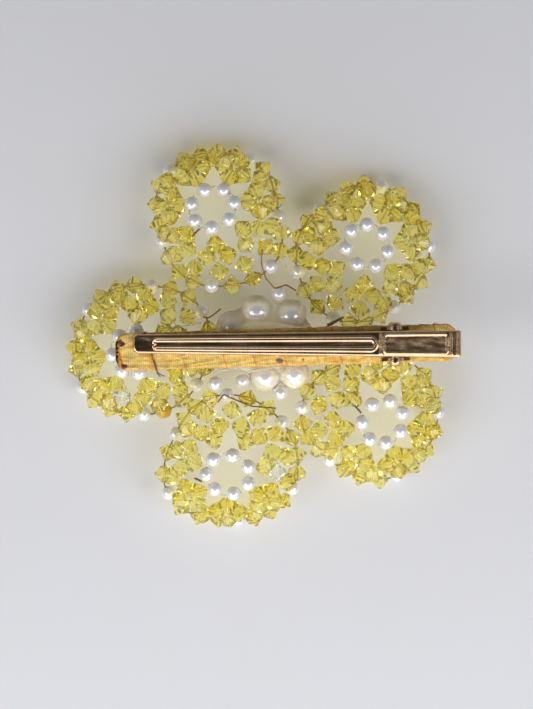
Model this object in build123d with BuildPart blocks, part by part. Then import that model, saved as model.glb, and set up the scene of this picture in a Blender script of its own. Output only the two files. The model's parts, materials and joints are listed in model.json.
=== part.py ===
"""Flower hair clip: five beaded petals strung on wire, glued to a ribbon-wrapped alligator clip.

The clip lies face down: +Z points from the flower's face to the clip on its back, +X runs along the
clip from jaw tip to thumb tail, and the lowest beads of the petals touch Z = 0. Millimetres.
"""
from build123d import *
from math import atan2, cos, floor, hypot, pi, radians, sin, sqrt, tan
import os

os.makedirs("parts", exist_ok=True)

# Beads
crystal_diameter = 3.9
crystal_length = 3.3
crystal_sides = 6
crystal_end_radius = 0.5
crystal_girdle = 0.3
pearl_diameter = 2.9
bore_diameter = 0.62
bead_gap = 0.17

# Wire and thread
wire_diameter = 0.3
thread_diameter = 0.2
wire_bend = 0.6
thread_bend = 0.25
straight_turn = 1.5  # degrees: a gentler turn than this needs no bend
link_sight = 1.0  # a radial bead points along the cup as it runs this far to either side of it
end_gap = 0.6

# Petals: azimuth about the flower's centre, reach of the rim's centre in rim radii, lean of the cup outwards,
# the corner pearls of the rim by angle and share of its radius, and the angles of the ring's pearls
rim_radius = 13.4
ring_radius = 4.3
rim_roll = 37
weave_roll = 29
link_roll = 23
ring_pearl_count = 7
weave_count = 14
meridian_turn = radians(55)
petals = {
    1: dict(
        azimuth=111.7, reach=1.896, lean=21,
        corners=[(20, 1.11), (84, 0.88), (154, 1.03), (205, 1.16), (256, 0.9), (312, 1.08)],
        ring=(1, 60, 102, 157, 215, 262, 305), phase=6,
    ),
    2: dict(
        azimuth=42.6, reach=1.903, lean=15,
        corners=[(29, 1.1), (86, 0.89), (154, 0.97), (205, 1.1), (261, 0.95), (324, 1.08)],
        ring=(47, 90, 143, 197, 254, 300, 359), phase=17,
    ),
    3: dict(
        azimuth=185.3, reach=1.843, lean=13,
        corners=[(26, 1.06), (84, 0.95), (144, 0.97), (207, 1.14), (257, 1.0), (317, 1.04)],
        ring=(6, 54, 101, 153, 205, 256, 300), phase=2, amber=3, clear=2,
    ),
    4: dict(
        azimuth=254.8, reach=1.851, lean=21,
        corners=[(19, 0.98), (78, 1.0), (143, 0.96), (199, 1.06), (261, 0.93), (314, 1.11)],
        ring=(29, 82, 124, 184, 243, 286, 331), phase=11, clear=3,
    ),
    5: dict(
        azimuth=325.2, reach=1.948, lean=17.6,
        corners=[(35, 1.03), (89, 0.98), (149, 0.91), (207, 1.14), (263, 0.92), (328, 1.03)],
        ring=(5, 61, 103, 155, 217, 270, 313), phase=20,
    ),
}
flower_centre = (0.8, -0.8)

# Spare room between rows of beads, measured along the cup from one thread line to the next bead's end
ring_room = pearl_diameter / 2 + 0.2
weave_room = 1.14

# Clip
pivot_x = 26.6
pivot_y = -1.6
base_yaw = 1.7
arm_rear = 11.8
arm_width = 6.7
arm_corner = 0.3 * arm_width
arm_thickness = 0.8
ribbon_thickness = 0.4
ribbon_edge = 0.8 * ribbon_thickness
ribbon_lap = 0.25
ribbon_setback = 0.6
pearl_to_ribbon = 0.4
sheet = 0.5
lever_front = 52.0
arm_front = lever_front + 3.5
lever_rear = 12.8
lever_tip_width = 3.8
lever_tail_width = 5.4
tip_skirt = 1.0
tail_skirt = 1.0
tip_to_ribbon = 0.08
tail_angle = 16
tail_bend = 2.6
pin_radius = 0.8
pin_height = pin_radius + 0.95
pin_head_radius = pin_radius + 0.6
pin_head_length = 0.85
pin_head_dome = 0.85 * pin_head_length
pin_clearance = 0.06
ear_hole_clearance = 0.14
ear_length = 5.6
ear_thickness = 0.6
ear_clearance = 0.2
ear_radius = pin_radius + 0.8
opening_angle = 25
open_gap = 0.08
heel_run = 0.2
skirt_run = pin_radius + 1.2
coil_wire = 0.45
coil_clearance = 0.18
coil_turns = 4
coil_gap = 0.06
lower_leg = 9.0
upper_leg = 4.5
ridge_height = 0.18
ridge_width = 0.42
rib_setback = 3.2
rib_end = 0.9
outer_rib_width = 3.1
inner_rib_width = 1.5
panel_start = 0.9
panel_length = 11.9
panel_width = 3.7
thread_bite = 0.25
binding_from_pivot = lever_front - 3.4
binding_slant = 16

# Centre
large_pearl_diameter = 5.2
large_pearl_depth = 3.6
large_pearls = [(-6.6, 2.6, 20), (-1.7, 5.8, 75), (5.2, 5.0, 110), (0.0, -7.4, 10), (5.8, -6.9, 150)]
small_pearls = [(2.8, 9.2, 3.6), (-9.9, -8.7, 1.7), (-4.5, -8.2, 3.4), (3.1, -10.5, 3.2)]
glue_gap = 0.02
small_pearl_turn = 30
glue_sections = [(0, 19, 6.6), (1.6, 20, 11), (3.4, 20.5, 15.5), (5.2, 17, 13)]  # depth, length, width
tie_routes = [
    [
        (-0.6, 18.0, -1.5),
        (-0.7, 15.0, -1.0),
        (0.2, 12.2, 0.3),
        (2.0, 10.2, 1.6),
        (4.2, 11.0, 1.4),
        (6.2, 9.8, 1.2),
    ],
    [(-12.4, 4.6, 1.4), (-11.2, 4.4, 1.2), (-10.0, 5.2, 1.1), (-8.8, 6.2, 1.3)],
    [(-9.4, -12.4, 0.6), (-8.2, -10.8, 0.2), (-6.6, -11.6, 0.1), (-2.6, -13.2, 0.4), (2.2, -13.6, 0.9)],
    [(11.6, 2.4, 0.9), (13.2, 3.0, 0.7), (15.2, 4.2, 0.9)],
]


def mean_point(a, b):
    return (a + b) * 0.5


def write(piece, name):
    piece.part.label = name
    export_step(piece.part, f"parts/{name}.step")


# ---------------------------------------------------------------- beads

with BuildPart() as crystal:
    for height, radius in (
        (-crystal_length / 2, crystal_end_radius),
        (-crystal_girdle / 2, crystal_diameter / 2),
        (crystal_girdle / 2, crystal_diameter / 2),
        (crystal_length / 2, crystal_end_radius),
    ):
        with BuildSketch(Plane.XY.offset(height)):
            RegularPolygon(radius, crystal_sides)
    loft(ruled=True)
    Cylinder(bore_diameter / 2, 2 * crystal_length, mode=Mode.SUBTRACT)

with BuildPart() as pearl:
    Sphere(pearl_diameter / 2)
    Cylinder(bore_diameter / 2, 2 * pearl_diameter, mode=Mode.SUBTRACT)

with BuildPart() as round_bead:
    Sphere(crystal_length / 2)
    Cylinder(bore_diameter / 2, 2 * crystal_length, mode=Mode.SUBTRACT)

with BuildPart() as large_pearl:
    Sphere(large_pearl_diameter / 2)
    Cylinder(bore_diameter / 2, 2 * large_pearl_diameter, mode=Mode.SUBTRACT)


def strung(middle, along, roll=0.0):
    """The place of a bead whose bore runs along a direction, turned about its bore by roll degrees."""
    across = along.cross(Vector(0, 0, 1))
    if across.length < 0.05:
        across = along.cross(Vector(1, 0, 0))
    return Plane(origin=middle, x_dir=across, z_dir=along).location * Location((0, 0, 0), (0, 0, roll))


def beads(bead, places, name):
    with BuildPart() as group:
        with Locations(*places):
            add(bead.part)
    write(group, name)


def tube(points, diameter, bend):
    """A wire of straight runs joined by tangent arcs through the given points."""
    route_points = [points[0]]
    for here, after in zip(points[1:], points[2:]):
        if (here - route_points[-1]).get_angle(after - here) > straight_turn:
            route_points.append(here)
    route_points.append(points[-1])
    with BuildPart() as wire:
        with BuildLine() as route:
            if len(route_points) == 2:
                Line(*route_points)
            else:
                FilletPolyline(*route_points, radius=bend)
        with BuildSketch(Plane(origin=route_points[0], z_dir=route_points[1] - route_points[0])):
            Circle(diameter / 2)
        sweep(path=route.wire())
    return wire


# ---------------------------------------------------------------- petals

ring_step = crystal_length / 2 + ring_room
weave_step = ring_step + crystal_length / 2 + weave_room
cup_arc = weave_step + weave_room + crystal_length + crystal_diameter / 2 + bead_gap
cup_chord = cup_arc * sin(meridian_turn / 2) / (meridian_turn / 2)
cup_height = sqrt(cup_chord**2 - (rim_radius - ring_radius) ** 2)


def rim_ratio(corners, angle):
    """How far out the rim lies at an angle, as a share of its mean radius, eased from corner to corner."""
    angle = angle % 360
    ahead = corners[1:] + corners[:1]
    for (start, near), (end, far) in zip(corners, ahead):
        span = (end - start) % 360
        past = (angle - start) % 360
        if past <= span:
            return near + (far - near) * (1 - cos(pi * past / span)) / 2


def cup_point(corners, angle, arc):
    """A point of the cup: arc is the length from the ring towards the rim, or None for the rim itself."""
    reach = rim_radius * rim_ratio(corners, angle)
    drop = cup_height - (reach - rim_radius)
    run = reach - ring_radius
    chord = hypot(run, drop)
    length = chord * (meridian_turn / 2) / sin(meridian_turn / 2)
    share = 1 if arc is None else arc / length
    start = meridian_turn / 2 - atan2(drop, run)
    bow = length / meridian_turn
    out = ring_radius + bow * (sin(start) - sin(start - meridian_turn * share))
    up = cup_height + bow * (cos(start - meridian_turn * share) - cos(start))
    return Vector(out * cos(radians(angle)), out * sin(radians(angle)), up)


def meridian_length(corners, angle):
    reach = rim_radius * rim_ratio(corners, angle)
    chord = hypot(reach - ring_radius, cup_height - (reach - rim_radius))
    return chord * (meridian_turn / 2) / sin(meridian_turn / 2)


def along_rim(corners, start, end, steps=60):
    """Points of the rim from one angle to another, with the length to each."""
    angles = [start + (end - start) * i / steps for i in range(steps + 1)]
    points = [cup_point(corners, a, None) for a in angles]
    lengths = [0.0]
    for a, b in zip(points, points[1:]):
        lengths.append(lengths[-1] + (b - a).length)
    return points, lengths


def at_length(points, lengths, wanted):
    for i in range(1, len(points)):
        if lengths[i] >= wanted:
            share = (wanted - lengths[i - 1]) / (lengths[i] - lengths[i - 1])
            return points[i - 1] + (points[i] - points[i - 1]) * share
    return points[-1]


def even_turns(corners, arc, count, phase):
    """Angles that share a row of the cup out into equal lengths."""
    angles = [phase + i for i in range(361)]
    points = [cup_point(corners, a, arc) for a in angles]
    lengths = [0.0]
    for a, b in zip(points, points[1:]):
        lengths.append(lengths[-1] + (b - a).length)
    turns = []
    for i in range(count):
        wanted = lengths[-1] * i / count
        step = max(j for j in range(360) if lengths[j] <= wanted)
        turns.append(angles[step] + (wanted - lengths[step]) / (lengths[step + 1] - lengths[step]))
    return turns


def rim_joints(corners):
    """The points between the rim's beads, and which of the beads are pearls."""
    joints = []
    kinds = []
    for (start, _), (end, _) in zip(corners, corners[1:] + [(corners[0][0] + 360, 0)]):
        points, lengths = along_rim(corners, start, end)
        room = lengths[-1] - pearl_diameter
        count = floor((room - bead_gap) / (crystal_length + bead_gap))
        gap = (room - count * crystal_length) / (count + 1)
        reached = pearl_diameter / 2 + gap / 2
        for _ in range(count + 1):
            joints.append(at_length(points, lengths, reached))
            reached += crystal_length + gap
        kinds += ["crystal"] * count + ["pearl"]
    return joints, kinds


def ring_point(angle, radius):
    """A point level with the ring, by its angle and its distance from the cup's axis."""
    return Vector(radius * cos(radians(angle)), radius * sin(radians(angle)), cup_height)


def petal_origin(petal):
    """Where a petal's cup stands: its rim's lowest bead touches Z = 0."""
    lean = radians(petal["lean"])
    joints, kinds = rim_joints(petal["corners"])
    middles = [mean_point(a, b) for a, b in zip(joints, joints[1:] + joints[:1])]
    reaches = [crystal_diameter / 2 if kind == "crystal" else pearl_diameter / 2 for kind in kinds]
    lift = max(m.X * sin(lean) - m.Z * cos(lean) + r for m, r in zip(middles, reaches))
    turn = radians(petal["azimuth"])
    return Vector(
        flower_centre[0] + rim_radius * petal["reach"] * cos(turn),
        flower_centre[1] + rim_radius * petal["reach"] * sin(turn),
        lift,
    )


def placed(petal, points):
    """Points of a petal's own frame, moved to where the petal stands."""
    lean = radians(petal["lean"])
    turn = radians(petal["azimuth"])
    origin = petal["origin"]
    moved = []
    for p in points:
        x = p.X * cos(lean) + p.Z * sin(lean)
        z = p.Z * cos(lean) - p.X * sin(lean)
        moved.append(origin + Vector(x * cos(turn) - p.Y * sin(turn), x * sin(turn) + p.Y * cos(turn), z))
    return moved


def loop_places(joints, roll):
    """One place for each bead of a closed loop, between each joint and the next."""
    ahead = joints[1:] + joints[:1]
    return [strung(mean_point(a, b), b - a, roll * i) for i, (a, b) in enumerate(zip(joints, ahead))]


def opened(joints):
    """A loop's joints as an open route whose end stops short of its start."""
    last = joints[0] - (joints[0] - joints[-1]).normalized() * end_gap
    return joints + [last]


amber_places = []
clear_places = []
crystal_middles = []


def build_petal(number, petal):
    name = f"petal_{number}"
    corners = petal["corners"]
    petal["origin"] = petal_origin(petal)

    joints, kinds = rim_joints(corners)
    joints = placed(petal, joints)
    crystal_middles.extend(mean_point(a, b) for a, b in zip(joints, joints[1:] + joints[:1]))
    places = loop_places(joints, rim_roll)
    crystals = [place for place, kind in zip(places, kinds) if kind == "crystal"]
    if "amber" in petal:
        amber_places.append(crystals.pop(petal["amber"]))
    beads(crystal, crystals, f"{name}_rim_crystals")
    beads(pearl, [place for place, kind in zip(places, kinds) if kind == "pearl"], f"{name}_rim_pearls")
    write(tube(opened(joints), wire_diameter, wire_bend), f"{name}_rim_wire")

    ring_angles = petal["ring"]
    after_angles = ring_angles[1:] + ring_angles[:1]
    between = [a + ((b - a) % 360) / 2 for a, b in zip(ring_angles, after_angles)]
    joint_radius = ring_radius / cos(pi / ring_pearl_count)
    ring = placed(petal, [ring_point(angle, joint_radius) for angle in between])
    beads(pearl, loop_places(ring, 0), f"{name}_ring_pearls")

    turns = even_turns(corners, weave_step, weave_count, petal["phase"])
    weave = placed(petal, [cup_point(corners, a, weave_step) for a in turns])
    crystal_middles.extend(mean_point(a, b) for a, b in zip(weave, weave[1:] + weave[:1]))
    woven = loop_places(weave, weave_roll)
    if "clear" in petal:
        clear_places.append(woven.pop(petal["clear"]))
    links = []
    for i, a in enumerate(turns):
        if i % 2 == 0:
            ends = (ring_step - crystal_length / 2, ring_step + crystal_length / 2)
            links.append([cup_point(corners, a, arc) for arc in ends])
        outer = meridian_length(corners, a) - crystal_diameter / 2
        middle = (weave_step + weave_room + outer) / 2
        ends = (middle - link_sight, middle + link_sight)
        links.append([cup_point(corners, a, arc) for arc in ends])
    link_lines = [placed(petal, link) for link in links]
    for i, (a, b) in enumerate(link_lines):
        crystal_middles.append(mean_point(a, b))
        woven.append(strung(mean_point(a, b), b - a, link_roll * i))
    beads(crystal, woven, f"{name}_weave_crystals")

    with BuildPart() as thread:
        add(tube(opened(ring), thread_diameter, thread_bend).part)
        add(tube(opened(weave), thread_diameter, thread_bend).part)
        for a, b in link_lines:
            middle = mean_point(a, b)
            half = (b - a).normalized() * (crystal_length + bead_gap) / 2
            add(tube([middle - half, middle + half], thread_diameter, thread_bend).part)
    write(thread, f"{name}_weave_thread")


for number, petal in petals.items():
    build_petal(number, petal)


# ---------------------------------------------------------------- clip levels

# The base is turned a little about the pivot; the lever lies along X
base_plane = Plane(origin=(pivot_x, pivot_y, 0)).rotated((0, 0, base_yaw))


def under_arm(point):
    """Whether a crystal centred at a point comes under the wrapped arm."""
    local = base_plane.to_local_coords(point)
    reach = arm_width / 2 + ribbon_thickness + crystal_diameter / 2
    return -arm_front < local.X < arm_rear and abs(local.Y) < reach


under_clip = petals[3]
clip_ring = placed(under_clip, [ring_point(angle, ring_radius) for angle in under_clip["ring"]])
ring_top = max(p.Z for p in clip_ring) + pearl_diameter / 2
crystal_top = max(p.Z for p in crystal_middles if under_arm(p)) + crystal_diameter / 2
ribbon_bottom = max(ring_top + pearl_to_ribbon, crystal_top + bead_gap)
arm_bottom = ribbon_bottom + ribbon_thickness
arm_top = arm_bottom + arm_thickness
ribbon_top = arm_top + ribbon_thickness
pin_z = ribbon_top + pin_height
lever_top_z = pin_z + pin_radius + pin_clearance + coil_clearance + coil_wire + coil_clearance + sheet

side_plane = Plane(origin=(pivot_x, pivot_y, 0), x_dir=(1, 0, 0), z_dir=(0, -1, 0))
arm_axis = Axis((0, 0, 0), base_plane.x_dir)


def base_level(height):
    return base_plane.offset(height)


def lever_half_width(along):
    """Half the lever's width at a distance along X from the pivot."""
    share = (along + lever_front) / (lever_front + lever_rear)
    return (lever_tip_width + (lever_tail_width - lever_tip_width) * share) / 2


ear_inner = lever_half_width(ear_length / 2) + ear_clearance
ear_outer = ear_inner + ear_thickness

# ---------------------------------------------------------------- base arm, ears, ribbon, pin

with BuildPart() as base_arm:
    with BuildSketch(base_level(arm_bottom)):
        with Locations(((arm_rear - arm_front) / 2, 0)):
            RectangleRounded(arm_front + arm_rear, arm_width, arm_corner)
    extrude(amount=arm_thickness)
    for side in (-1, 1):
        far_face = ear_outer if side > 0 else -ear_inner
        ear_plane = Plane(
            origin=base_plane.from_local_coords((0, far_face, 0)),
            x_dir=base_plane.x_dir,
            z_dir=-base_plane.y_dir,
        )
        with BuildSketch(ear_plane):
            with Locations((0, (arm_bottom + pin_z) / 2)):
                Rectangle(ear_length, pin_z - arm_bottom)
            with Locations((0, pin_z)):
                Circle(ear_radius)
            with Locations((0, pin_z)):
                Circle(pin_radius + ear_hole_clearance, mode=Mode.SUBTRACT)
        extrude(amount=ear_thickness)
write(base_arm, "base_arm")

ribbon_front = arm_front - ribbon_setback
with BuildPart() as plain_ribbon:
    with BuildSketch(base_level(ribbon_bottom)):
        with Locations(((arm_rear - ribbon_front) / 2, 0)):
            RectangleRounded(
                ribbon_front + arm_rear + 2 * ribbon_lap,
                arm_width + 2 * ribbon_thickness,
                arm_corner + ribbon_thickness,
            )
    extrude(amount=arm_thickness + 2 * ribbon_thickness)
    fillet(plain_ribbon.faces().filter_by(Axis.Z).edges(), ribbon_edge)
    with BuildSketch(base_level(arm_bottom)):
        with Locations(((arm_rear - arm_front) / 2, 0)):
            RectangleRounded(arm_front + arm_rear, arm_width, arm_corner)
    extrude(amount=arm_thickness, mode=Mode.SUBTRACT)
    with BuildSketch(base_level(arm_bottom)):
        for side in (-1, 1):
            with Locations((0, side * (ear_inner + ear_thickness / 2))):
                Rectangle(ear_length, ear_thickness)
    extrude(amount=pin_z, mode=Mode.SUBTRACT)

with BuildPart() as binding_thread:
    with BuildSketch(base_level(ribbon_bottom)):
        with Locations((-arm_front / 2, 0)):
            Rectangle(arm_front, arm_width + 2 * ribbon_thickness)
    extrude(amount=arm_thickness + 2 * ribbon_thickness)
    fillet(binding_thread.faces().filter_by(Axis.Z).edges().filter_by(arm_axis), ribbon_edge)
    with BuildSketch(base_level(ribbon_bottom + thread_bite)):
        with Locations((-arm_front / 2, 0)):
            Rectangle(arm_front, arm_width + 2 * (ribbon_thickness - thread_bite))
    extrude(amount=arm_thickness + 2 * (ribbon_thickness - thread_bite), mode=Mode.SUBTRACT)
    with BuildSketch(base_level(ribbon_bottom)):
        with Locations(Location((-binding_from_pivot, 0), binding_slant)):
            Rectangle(thread_bite, 2 * arm_width)
    extrude(amount=arm_top, mode=Mode.INTERSECT)
write(binding_thread, "binding_thread")

with BuildPart() as ribbon_wrap:
    add(plain_ribbon.part)
    add(binding_thread.part, mode=Mode.SUBTRACT)
write(ribbon_wrap, "ribbon_wrap")

pin_half = ear_outer + ear_clearance / 2
with BuildPart() as pivot_pin:
    with BuildSketch(Plane(origin=(pivot_x, pivot_y, pin_z), x_dir=(1, 0, 0), z_dir=(0, 1, 0))):
        Circle(pin_radius)
    extrude(amount=pin_half, both=True)
    for side in (-1, 1):
        with BuildSketch(
            Plane(origin=(pivot_x, pivot_y + side * pin_half, pin_z), x_dir=(1, 0, 0), z_dir=(0, side, 0))
        ):
            Circle(pin_head_radius)
        extrude(amount=pin_head_length)
        fillet(
            pivot_pin.faces().sort_by(Axis.Y)[0 if side < 0 else -1].edges(),
            pin_head_dome,
        )
write(pivot_pin, "pivot_pin")

# ---------------------------------------------------------------- lever

tip_top_z = ribbon_top + tip_to_ribbon + tip_skirt
front_slope = atan2(lever_top_z - tip_top_z, lever_front - tail_bend)
tail_slope = radians(tail_angle)
tail_rise = (lever_rear + tail_bend) * tan(tail_slope)
skirt_z = pin_z - ear_radius


def clear_of_ribbon(along):
    """The lowest that the lever may reach behind its pin and still clear the ribbon when it is open."""
    turn = radians(opening_angle)
    return pin_z + (along * sin(turn) - pin_height + open_gap) / cos(turn)


def lever_side(inset):
    """The lever's side view, lowered by inset, as a sketch profile about the pivot."""
    with BuildLine() as line:
        Polyline(
            (-lever_front, tip_top_z - inset),
            (-tail_bend, lever_top_z - inset),
            (lever_rear, lever_top_z + tail_rise - inset),
            (lever_rear, lever_top_z + tail_rise - sheet - tail_skirt),
            (skirt_run, clear_of_ribbon(skirt_run)),
            (heel_run, skirt_z),
            (-pin_radius, skirt_z),
            (-lever_front, ribbon_top + tip_to_ribbon),
            close=True,
        )
    return line


def lever_plan(inset):
    """The lever seen from above: a tapering strip with a rounded tip."""
    tip = lever_half_width(-lever_front) - inset
    tail = lever_half_width(lever_rear) - inset
    rear = lever_rear - inset
    with BuildLine() as line:
        start = (-lever_front + inset + tip, tip)
        Line(start, (rear, tail))
        Line((rear, tail), (rear, -tail))
        Line((rear, -tail), (start[0], -tip))
        ThreePointArc((start[0], -tip), (-lever_front + inset, 0), start)
    return line


plan_plane = Plane(origin=(pivot_x, pivot_y, 0))
with BuildPart() as channel:
    with BuildSketch(side_plane):
        add(lever_side(sheet).line)
        make_face()
    extrude(amount=lever_tail_width, both=True)
    with BuildSketch(plan_plane):
        add(lever_plan(sheet).line)
        make_face()
    extrude(amount=2 * lever_top_z, mode=Mode.INTERSECT)


def slope_plane(slope):
    """A plane on the lever's top, starting at its bend and rising along X at a slope."""
    return Plane(
        origin=(pivot_x - tail_bend, pivot_y, lever_top_z),
        x_dir=(cos(slope), 0, sin(slope)),
        z_dir=(-sin(slope), 0, cos(slope)),
    )


rib_length = lever_front - tail_bend - rib_setback - rib_end
rib_middle = -rib_end - rib_length / 2
panel_middle = panel_start + panel_length / 2
with BuildPart() as lever:
    with BuildSketch(side_plane):
        add(lever_side(0).line)
        make_face()
    extrude(amount=lever_tail_width, both=True)
    with BuildSketch(plan_plane):
        add(lever_plan(0).line)
        make_face()
    extrude(amount=2 * lever_top_z, mode=Mode.INTERSECT)
    add(channel.part, mode=Mode.SUBTRACT)
    with BuildSketch(side_plane):
        with Locations((0, pin_z)):
            Circle(pin_radius + pin_clearance)
    extrude(amount=lever_tail_width, both=True, mode=Mode.SUBTRACT)
    with BuildSketch(slope_plane(front_slope)):
        with Locations((rib_middle, 0)):
            for width in (outer_rib_width, inner_rib_width):
                length = rib_length - outer_rib_width + width
                SlotOverall(length, width)
                SlotOverall(length - 2 * ridge_width, width - 2 * ridge_width, mode=Mode.SUBTRACT)
    extrude(amount=ridge_height)
    with BuildSketch(slope_plane(tail_slope)):
        with Locations((panel_middle, 0)):
            RectangleRounded(panel_length, panel_width, ridge_width)
            Rectangle(panel_length - 2 * ridge_width, panel_width - 2 * ridge_width, mode=Mode.SUBTRACT)
        with Locations((panel_start / 2, 0), (panel_start + panel_length + panel_start, 0)):
            Rectangle(ridge_width, panel_width)
    extrude(amount=ridge_height)
write(lever, "lever")

# ---------------------------------------------------------------- torsion spring

coil_radius = pin_radius + coil_clearance + coil_wire / 2
coil_pitch = coil_wire + coil_gap
coil_height = coil_pitch * (coil_turns + 0.5)
with BuildPart() as coil:
    with BuildLine() as coil_line:
        Helix(pitch=coil_pitch, height=coil_height, radius=coil_radius)
    with BuildSketch(Plane(origin=coil_line.line @ 0, z_dir=coil_line.line % 0)):
        Circle(coil_wire / 2)
    sweep(path=coil_line.wire(), is_frenet=True)
    for x, z, length in ((coil_radius, 0, lower_leg), (-coil_radius, coil_height, upper_leg)):
        with BuildSketch(Plane(origin=(x, 0, z), x_dir=(1, 0, 0), z_dir=(0, -1, 0))):
            Circle(coil_wire / 2)
        extrude(amount=length)

# The coil is made standing up and laid on the pin, its first leg underneath and both pointing forwards
coil_plane = Plane(
    origin=(pivot_x, pivot_y + coil_height / 2, pin_z), x_dir=(0, 0, -1), z_dir=(0, -1, 0)
)
with BuildPart() as torsion_spring:
    with Locations(coil_plane.location):
        add(coil.part)
write(torsion_spring, "torsion_spring")

# ---------------------------------------------------------------- centre: pearls, glue, wires


def centre_point(x, y, z):
    """A point by its place about the flower's centre and its height below the ribbon."""
    return Vector(flower_centre[0] + x, flower_centre[1] + y, ribbon_bottom - z)


large_places = [
    Location(tuple(centre_point(x, y, large_pearl_depth)), (90, 0, turn)) for x, y, turn in large_pearls
]
with BuildPart() as centre_large_pearls:
    with Locations(*large_places):
        add(large_pearl.part)
write(centre_large_pearls, "centre_large_pearls")

small_places = [
    Location(tuple(centre_point(x, y, z)), (90, 0, small_pearl_turn * x)) for x, y, z in small_pearls
]
with BuildPart() as centre_small_pearls:
    with Locations(*small_places):
        add(pearl.part)
write(centre_small_pearls, "centre_small_pearls")

with BuildPart() as glue_pad:
    for depth, length, width in glue_sections:
        with BuildSketch(Plane(origin=centre_point(0, 0, depth))):
            Ellipse(length / 2, width / 2)
    loft()
    with Locations(*[place.position for place in large_places]):
        Sphere(large_pearl_diameter / 2 + glue_gap, mode=Mode.SUBTRACT)
    with Locations(*[place.position for place in small_places]):
        Sphere(pearl_diameter / 2 + glue_gap, mode=Mode.SUBTRACT)
write(glue_pad, "glue_pad")

with BuildPart() as tie_wires:
    for route in tie_routes:
        add(tube([centre_point(*point) for point in route], wire_diameter, wire_bend).part)
write(tie_wires, "tie_wires")

beads(crystal, clear_places, "clear_crystals")
beads(round_bead, amber_places, "amber_bead")
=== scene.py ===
"""Finishes and stages a beaded flower hair clip on its own CAD frame."""
import json
import math
import random

import bpy
from bpy.props import FloatProperty, FloatVectorProperty, IntProperty, PointerProperty
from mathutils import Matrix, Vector, noise


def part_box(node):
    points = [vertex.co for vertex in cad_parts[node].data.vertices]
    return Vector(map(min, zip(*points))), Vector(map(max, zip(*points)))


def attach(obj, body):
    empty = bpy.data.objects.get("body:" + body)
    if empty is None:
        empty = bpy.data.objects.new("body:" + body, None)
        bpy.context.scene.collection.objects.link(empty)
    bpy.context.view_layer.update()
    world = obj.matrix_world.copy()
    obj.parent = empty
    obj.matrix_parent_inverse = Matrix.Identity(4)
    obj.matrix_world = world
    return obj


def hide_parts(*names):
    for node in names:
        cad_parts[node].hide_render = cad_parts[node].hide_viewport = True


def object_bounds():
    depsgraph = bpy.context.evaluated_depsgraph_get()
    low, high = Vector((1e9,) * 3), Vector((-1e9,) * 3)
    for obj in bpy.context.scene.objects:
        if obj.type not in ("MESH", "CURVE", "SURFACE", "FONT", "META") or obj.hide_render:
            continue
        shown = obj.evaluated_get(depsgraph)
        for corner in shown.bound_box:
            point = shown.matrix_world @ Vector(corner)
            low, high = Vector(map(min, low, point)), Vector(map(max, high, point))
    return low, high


bl_info = {
    "name": "Beaded Flower Hair Clip",
    "version": (1, 0, 0),
    "blender": (4, 5, 0),
    "location": "View3D > Sidebar > Hair Clip",
    "description": "Finishes the beads, pearls, wires, ribbon and sprung clip of a beaded flower",
    "category": "Add Mesh",
}

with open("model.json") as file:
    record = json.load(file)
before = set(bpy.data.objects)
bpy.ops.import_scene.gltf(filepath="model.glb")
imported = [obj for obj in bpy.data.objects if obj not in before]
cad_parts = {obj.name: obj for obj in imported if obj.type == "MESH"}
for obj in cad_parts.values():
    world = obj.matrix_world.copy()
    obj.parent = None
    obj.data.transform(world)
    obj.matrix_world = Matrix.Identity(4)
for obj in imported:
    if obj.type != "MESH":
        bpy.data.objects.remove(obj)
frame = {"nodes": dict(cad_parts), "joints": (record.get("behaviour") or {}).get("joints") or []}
cad_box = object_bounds()

MM = 0.001
PETALS = range(1, 6)
BASE = "flower_and_base"
LEVER = "lever"
pivot = Vector(frame["joints"][0]["pos_m"])
base_yaw = math.radians(1.7)
ribbon_low, ribbon_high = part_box("ribbon_wrap")
ribbon_middle = (ribbon_low.z + ribbon_high.z) / 2
ribbon_half_height = (ribbon_high.z - ribbon_low.z) / 2
WELD_GAP = 0.001 * MM

# Tints of the lamp light that comes through the glassy materials.
THROUGH_YELLOW = (0.86, 0.83, 0.70)
THROUGH_CLEAR = (0.9, 0.9, 0.88)
THROUGH_NYLON = (0.9, 0.9, 0.86)
THROUGH_GLUE = (0.93, 0.88, 0.76)


# ---------------------------------------------------------------- sizes and colours


class BeadFinish(bpy.types.PropertyGroup):
    deep_yellow: FloatVectorProperty(
        name="Deep yellow", description="Colour of the most strongly tinted crystals",
        subtype="COLOR", size=3, min=0, max=1, default=(0.98, 0.84, 0.17),
    )
    pale_yellow: FloatVectorProperty(
        name="Pale yellow", description="Colour of the most lightly tinted crystals",
        subtype="COLOR", size=3, min=0, max=1, default=(0.98, 0.93, 0.42),
    )
    clear: FloatVectorProperty(
        name="Clear", description="Colour of the odd colourless crystals",
        subtype="COLOR", size=3, min=0, max=1, default=(0.97, 0.98, 0.95),
    )
    amber: FloatVectorProperty(
        name="Amber", description="Colour of the one golden bead",
        subtype="COLOR", size=3, min=0, max=1, default=(0.92, 0.60, 0.02),
    )
    pearl: FloatVectorProperty(
        name="Pearl", description="Body colour of the imitation pearls",
        subtype="COLOR", size=3, min=0, max=1, default=(0.90, 0.895, 0.90),
    )
    bead_swell: FloatProperty(
        name="Bead swell",
        description="How much fuller each crystal is, so that strung beads touch",
        subtype="DISTANCE", unit="LENGTH", min=0, default=0.1 * MM,
    )
    facet_edge: FloatProperty(
        name="Facet edge", description="Width of the softened edges between a crystal's facets",
        subtype="DISTANCE", unit="LENGTH", min=0, default=0.05 * MM,
    )


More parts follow.
